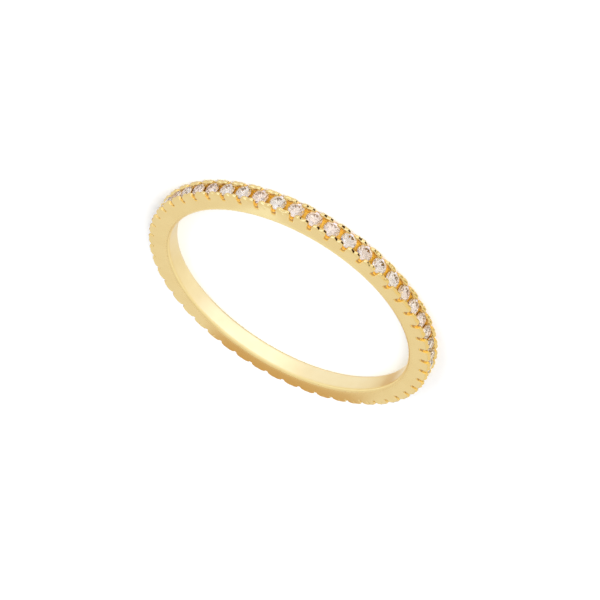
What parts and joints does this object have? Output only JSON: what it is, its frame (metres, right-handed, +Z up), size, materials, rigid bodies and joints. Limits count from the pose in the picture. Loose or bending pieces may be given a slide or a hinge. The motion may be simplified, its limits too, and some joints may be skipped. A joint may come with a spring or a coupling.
{
  "type": "stackable ring",
  "caption": "Thin gold-tone eternity ring, set all round its outer face with small round clear stones between two notched walls of prongs; worn alone or stacked with other rings.",
  "frame": {"origin": "centre of the ring, on the plane of the flat side that it lies on", "axes": "+Z up, along the axis of the finger; +X through the middle of one stone's seat"},
  "size_m": [0.0204, 0.0204, 0.0013],
  "materials": {
    "gold": "polished pale yellow gold plating, satin on the flat sides",
    "stone": "polished, cut in facets"
  },
  "bodies": {
    "root": {"band": "gold"}
  },
  "joints": []
}
